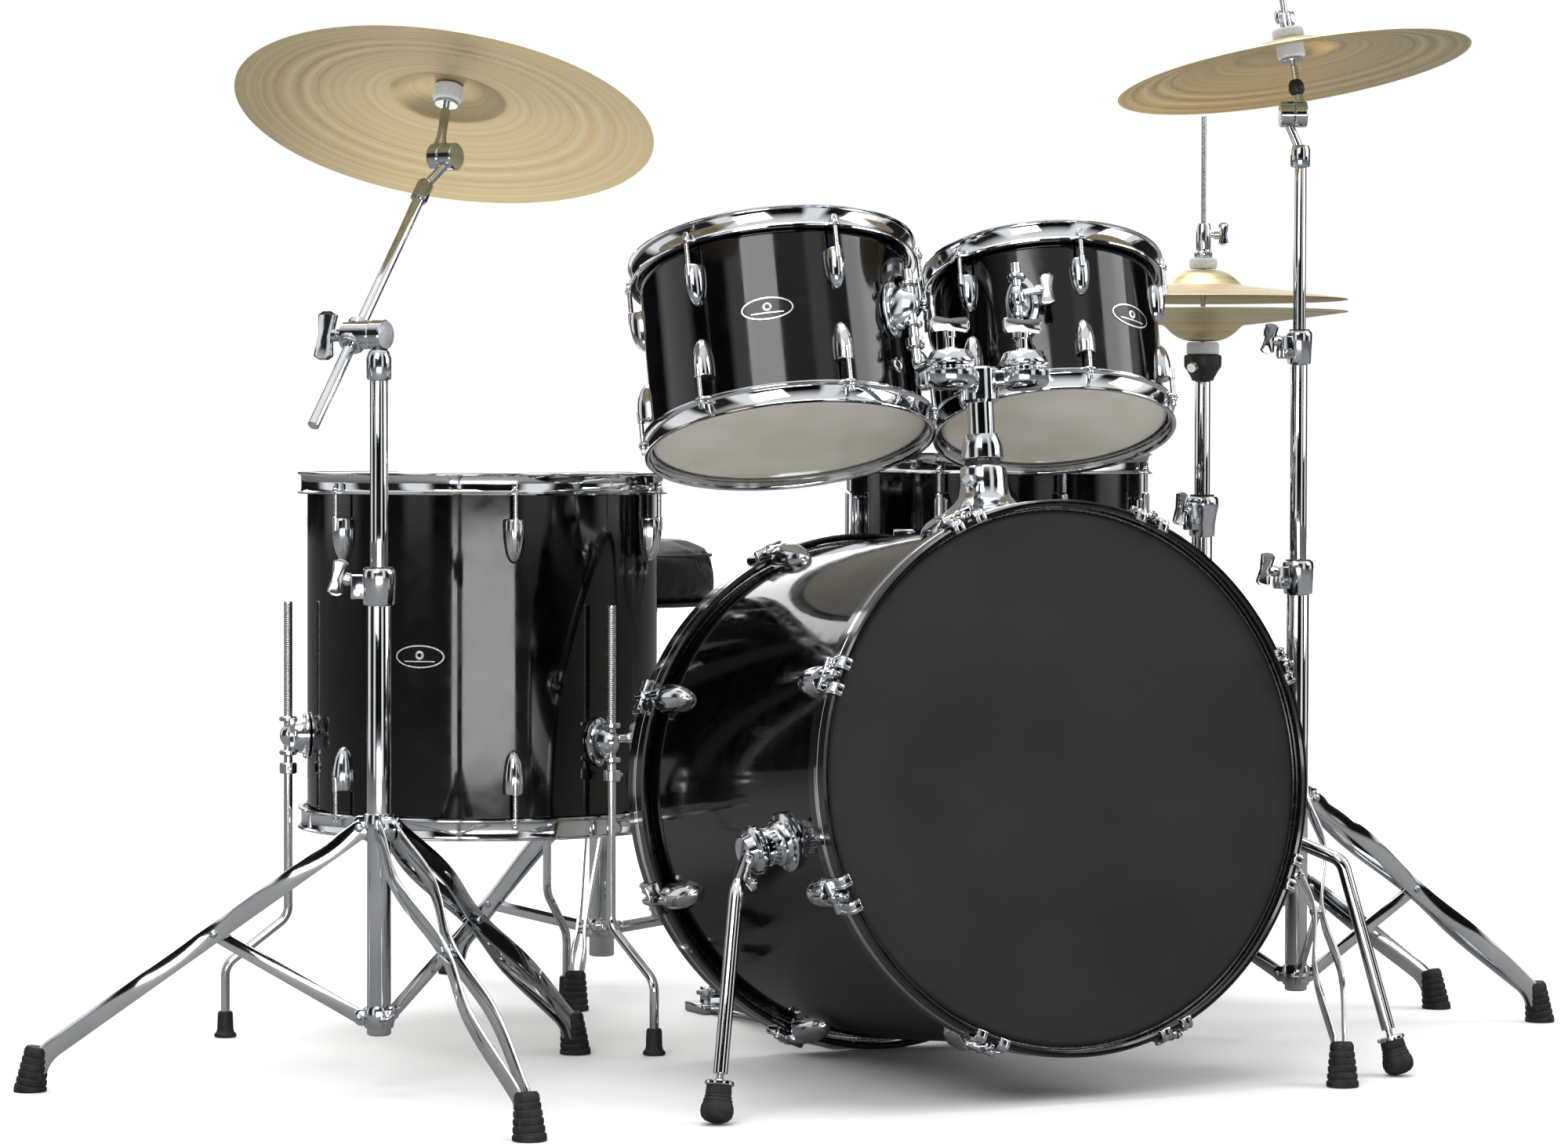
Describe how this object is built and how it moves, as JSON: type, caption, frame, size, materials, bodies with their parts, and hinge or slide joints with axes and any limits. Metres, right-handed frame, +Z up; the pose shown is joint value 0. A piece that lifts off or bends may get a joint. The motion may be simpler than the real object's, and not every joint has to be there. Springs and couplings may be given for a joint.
{
  "type": "acoustic drum kit",
  "caption": "Acoustic drum kit: bass drum with rack toms on a post, floor tom, snare, hi-hat, cymbals on stands, kick pedal and throne, with sliding, tilting and folding hardware.",
  "frame": {"origin": "middle of the underside of the kit's bounding box, on the floor", "axes": "+Z up, -Y towards the audience (the front head of the bass drum), +Y towards the drummer, +X to the audience's right"},
  "size_m": [1.823, 1.4094, 1.1982],
  "materials": {
    "blackWrap": "high gloss black shell wrap",
    "blackHead": "satin black coated film",
    "blackHoop": "gloss black lacquered maple hoop",
    "clearHead": "clear film over the pale inside of the shell",
    "chrome": "bright chrome plated steel and die castings",
    "whiteHead": "coated white film",
    "bronze": "polished cymbal bronze",
    "vinyl": "black grained vinyl"
  },
  "bodies": {
    "frame": {"bass_drum_shell": "blackWrap", "bass_drum_front_head": "blackHead", "bass_drum_front_hoop": "blackHoop", "bass_drum_batter_head": "clearHead", "bass_drum_batter_hoop": "blackHoop", "tom_mount_base": "chrome", "floor_tom_shell": "blackWrap", "floor_tom_batter_head": "whiteHead", "floor_tom_batter_hoop": "chrome", "floor_tom_reso_head": "clearHead", "floor_tom_reso_hoop": "chrome", "boom_stand_base": "chrome", "straight_stand_base": "chrome", "hihat_base": "chrome", "snare_stand_base": "chrome", "throne_base": "chrome", "kick_pedal_frame": "chrome"},
    "spur_left": {"spur_leg_left": "chrome"},
    "spur_right": {"spur_leg_right": "chrome"},
    "tom_holder": {"tom_holder": "chrome"},
    "large_tom_arm": {"large_tom_arm": "chrome"},
    "large_tom": {"large_tom_shell": "blackWrap", "large_tom_batter_head": "whiteHead", "large_tom_batter_hoop": "chrome", "large_tom_reso_head": "clearHead", "large_tom_reso_hoop": "chrome"},
    "small_tom_arm": {"small_tom_arm": "chrome"},
    "small_tom": {"small_tom_shell": "blackWrap", "small_tom_batter_head": "whiteHead", "small_tom_batter_hoop": "chrome", "small_tom_reso_head": "clearHead", "small_tom_reso_hoop": "chrome"},
    "floor_leg_1": {"floor_tom_leg_1": "chrome"},
    "floor_leg_2": {"floor_tom_leg_2": "chrome"},
    "floor_leg_3": {"floor_tom_leg_3": "chrome"},
    "snare": {"snare_basket": "chrome", "snare_shell": "blackWrap", "snare_batter_head": "whiteHead", "snare_batter_hoop": "chrome", "snare_reso_head": "clearHead", "snare_reso_hoop": "chrome"},
    "strainer_lever": {"snare_strainer_lever": "chrome"},
    "boom_tube": {"boom_stand_tube": "chrome"},
    "boom_clamp": {"boom_clamp": "chrome"},
    "boom_arm": {"boom_arm": "chrome"},
    "ride_tilter": {"ride_tilter": "chrome"},
    "ride_cymbal": {"ride_cymbal": "bronze"},
    "straight_middle": {"straight_stand_middle_tube": "chrome"},
    "straight_top": {"straight_stand_top_tube": "chrome"},
    "crash_tilter": {"crash_tilter": "chrome"},
    "crash_cymbal": {"crash_cymbal": "bronze"},
    "hihat_upper": {"hihat_seat_tube": "chrome", "hihat_bottom_cymbal": "bronze"},
    "hihat_rod": {"hihat_pull_rod": "chrome", "hihat_top_cymbal": "bronze"},
    "hihat_footboard": {"hihat_footboard": "chrome"},
    "throne_post": {"throne_post": "chrome"},
    "throne_seat": {"throne_seat": "vinyl"},
    "kick_footboard": {"kick_footboard": "chrome"},
    "kick_beater": {"kick_beater": "chrome"}
  },
  "joints": [
    {"name": "spur_fold_left", "type": "hinge", "parent": "frame", "child": "spur_left", "pos_m": [-0.25108, -0.52807, 0.26211], "axis": [-0.9808, -0.0193, -0.1941], "range_deg": [0, 60]},
    {"name": "spur_fold_right", "type": "hinge", "parent": "frame", "child": "spur_right", "pos_m": [0.3833, -0.52807, 0.26211], "axis": [-0.9808, 0.0193, 0.1941], "range_deg": [0, 60]},
    {"name": "tom_holder_height", "type": "slide", "parent": "frame", "child": "tom_holder", "axis": [0, 0.0988, 0.9951], "range_m": [-0.03, 0.04]},
    {"name": "large_tom_arm_swing", "type": "hinge", "parent": "tom_holder", "child": "large_tom_arm", "pos_m": [0.02111, -0.46072, 0.76842], "axis": [0, 0.0988, 0.9951], "range_deg": [-1, 18]},
    {"name": "large_tom_height", "type": "slide", "parent": "large_tom_arm", "child": "large_tom", "axis": [0.0449, 0.3054, 0.9512], "range_m": [-0.015, 0.02]},
    {"name": "small_tom_arm_swing", "type": "hinge", "parent": "tom_holder", "child": "small_tom_arm", "pos_m": [0.11111, -0.46072, 0.76842], "axis": [0, 0.0988, 0.9951], "range_deg": [-18, 1]},
    {"name": "small_tom_height", "type": "slide", "parent": "small_tom_arm", "child": "small_tom", "axis": [0.1114, 0.3399, 0.9338], "range_m": [-0.015, 0.02]},
    {"name": "floor_tom_leg_slide_1", "type": "slide", "parent": "frame", "child": "floor_leg_1", "axis": [0, 0, 1], "range_m": [0, 0.1]},
    {"name": "floor_tom_leg_slide_2", "type": "slide", "parent": "frame", "child": "floor_leg_2", "axis": [0, 0, 1], "range_m": [0, 0.1]},
    {"name": "floor_tom_leg_slide_3", "type": "slide", "parent": "frame", "child": "floor_leg_3", "axis": [0, 0, 1], "range_m": [0, 0.1]},
    {"name": "snare_height", "type": "slide", "parent": "frame", "child": "snare", "axis": [0, 0, 1], "range_m": [-0.05, 0.03]},
    {"name": "snare_strainer_throw", "type": "hinge", "parent": "snare", "child": "strainer_lever", "pos_m": [0.54441, 0.13885, 0.601], "axis": [-0.4337, 0.9011, 0], "range_deg": [0, 75]},
    {"name": "boom_stand_height", "type": "slide", "parent": "frame", "child": "boom_tube", "axis": [0, 0, 1], "range_m": [-0.05, 0.06]},
    {"name": "boom_tilt", "type": "hinge", "parent": "boom_tube", "child": "boom_clamp", "pos_m": [-0.56889, -0.2904, 0.797], "axis": [-0.5563, 0.831, 0], "range_deg": [-12, 6]},
    {"name": "boom_slide", "type": "slide", "parent": "boom_clamp", "child": "boom_arm", "axis": [0.5176, 0.3468, 0.7822], "range_m": [-0.05, 0.03]},
    {"name": "ride_tilt", "type": "hinge", "parent": "boom_arm", "child": "ride_tilter", "pos_m": [-0.45619, -0.17879, 0.99256], "axis": [-0.5563, 0.831, 0], "range_deg": [-15, 12]},
    {"name": "ride_spin", "type": "hinge", "parent": "ride_tilter", "child": "ride_cymbal", "pos_m": [-0.43463, -0.15738, 1.07301], "axis": [0.2507, 0.2489, 0.9355], "continuous": true},
    {"name": "straight_stand_low_height", "type": "slide", "parent": "frame", "child": "straight_middle", "axis": [0, 0, 1], "range_m": [-0.05, 0.05]},
    {"name": "straight_stand_high_height", "type": "slide", "parent": "straight_middle", "child": "straight_top", "axis": [0, 0, 1], "range_m": [-0.05, 0.05]},
    {"name": "crash_tilt", "type": "hinge", "parent": "straight_top", "child": "crash_tilter", "pos_m": [0.53161, -0.3568, 1.062], "axis": [0.894, -0.448, 0], "range_deg": [-15, 15]},
    {"name": "crash_spin", "type": "hinge", "parent": "crash_tilter", "child": "crash_cymbal", "pos_m": [0.52451, -0.34266, 1.14653], "axis": [-0.0825, 0.1645, 0.9829], "continuous": true},
    {"name": "hihat_height", "type": "slide", "parent": "frame", "child": "hihat_upper", "axis": [0, 0, 1], "range_m": [-0.02, 0.03]},
    {"name": "hihat_rod_pull", "type": "slide", "parent": "hihat_upper", "child": "hihat_rod", "axis": [0, 0, 1], "range_m": [-0.0135, 0]},
    {"name": "hihat_footboard_press", "type": "hinge", "parent": "frame", "child": "hihat_footboard", "pos_m": [0.40969, 0.28201, 0.024], "axis": [0.7071, 0.7071, 0], "range_deg": [0, 4], "stiffness_Nm_per_rad": 20, "springref_deg": -17.19},
    {"name": "throne_height", "type": "slide", "parent": "frame", "child": "throne_post", "axis": [0, 0, 1], "range_m": [-0.05, 0.06]},
    {"name": "throne_seat_spin", "type": "hinge", "parent": "throne_post", "child": "throne_seat", "pos_m": [0.03211, 0.4716, 0.48], "axis": [0, 0, 1], "continuous": true},
    {"name": "kick_footboard_press", "type": "hinge", "parent": "frame", "child": "kick_footboard", "pos_m": [0.06611, 0.18116, 0.024], "axis": [1, 0, 0], "range_deg": [0, 9], "stiffness_Nm_per_rad": 10, "springref_deg": -25.78},
    {"name": "kick_beater_swing", "type": "hinge", "parent": "frame", "child": "kick_beater", "pos_m": [0.06611, -0.11284, 0.165], "axis": [1, 0, 0], "range_deg": [0, 52]}
  ],
  "couplings": [
    {"joint": "kick_beater_swing", "follows": "kick_footboard_press", "ratio": 5.7222},
    {"joint": "hihat_rod_pull", "follows": "hihat_footboard_press", "m_per_rad": -0.1925}
  ]
}
